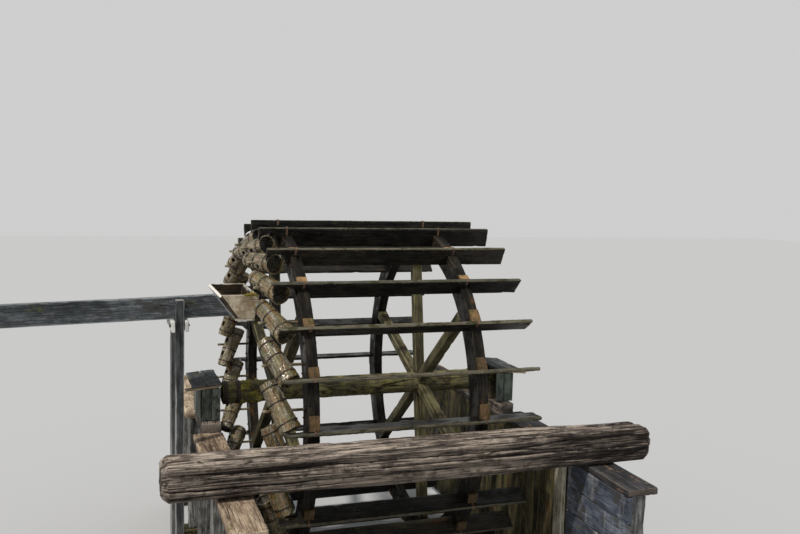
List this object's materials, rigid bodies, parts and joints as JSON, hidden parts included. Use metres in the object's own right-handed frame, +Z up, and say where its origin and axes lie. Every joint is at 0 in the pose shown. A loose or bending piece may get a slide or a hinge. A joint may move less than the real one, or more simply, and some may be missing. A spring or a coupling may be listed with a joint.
{
  "type": "water wheel",
  "caption": "Timber undershot wheel that lifts water: long paddles on two felloe rings, stave buckets set askew, a log axle in covered bearings, plank walls, a hopper and a flume",
  "frame": {"origin": "underside of the middle bed sill, under the axle, midway between the two rings", "axes": "+X along the axle, from the bucket side towards the long end of the paddles; -Y upstream, the rising side of the wheel; +Z up"},
  "size_m": [7.5413, 5.9, 4.3541],
  "materials": {
    "wheel_wood": "wet dark oak",
    "moss_wood": "wet wood with moss",
    "bucket_wood": "wet staves with moss",
    "grey_wood": "weathered grey boards",
    "wall_wood": "damp mossy planks",
    "tan_wood": "dry hewn timber",
    "iron": "rusty wrought iron"
  },
  "bodies": {
    "frame": {"bed_sills": "wall_wood", "wall_posts_left": "grey_wood", "wall_posts_right": "grey_wood", "wall_planks_left": "wall_wood", "wall_planks_right": "wall_wood", "wall_boards_right": "grey_wood", "wall_strip_right": "grey_wood", "wall_caps_left": "grey_wood", "wall_caps_right": "grey_wood", "front_log": "tan_wood", "bearing_sole_left": "wall_wood", "bearing_sole_right": "wall_wood", "bearing_block_left": "wall_wood", "bearing_block_right": "wall_wood", "bearing_box_left": "grey_wood", "bearing_box_right": "grey_wood", "bearing_cover_left": "grey_wood", "bearing_cover_right": "grey_wood", "cover_battens": "grey_wood", "hopper_near_board": "tan_wood", "hopper_far_board": "tan_wood", "hopper_left_board": "tan_wood", "hopper_right_board": "tan_wood", "hopper_floor_board": "tan_wood", "flume_near_side": "grey_wood", "flume_far_side": "grey_wood", "flume_floor": "grey_wood", "trestle_sills": "wall_wood", "trestle_posts": "grey_wood", "trestle_beams": "grey_wood"},
    "wheel": {"axle": "moss_wood", "axle_hoops": "iron", "gudgeons": "iron", "ring_left_outer": "wheel_wood", "ring_left_inner": "wheel_wood", "ring_right_inner": "wheel_wood", "ring_right_outer": "wheel_wood", "spokes_left": "moss_wood", "spokes_right": "moss_wood", "paddles_a": "wheel_wood", "paddles_b": "wheel_wood", "paddles_c": "wheel_wood", "paddles_d": "wheel_wood", "paddle_straps": "iron", "buckets_a": "bucket_wood", "buckets_b": "bucket_wood", "buckets_c": "bucket_wood", "buckets_d": "bucket_wood", "bucket_pins": "grey_wood", "bucket_hoops": "iron"}
  },
  "joints": [
    {"name": "wheel_turn", "type": "hinge", "parent": "frame", "child": "wheel", "pos_m": [0, 0, 2.25], "axis": [-1, 0, 0], "continuous": true}
  ]
}
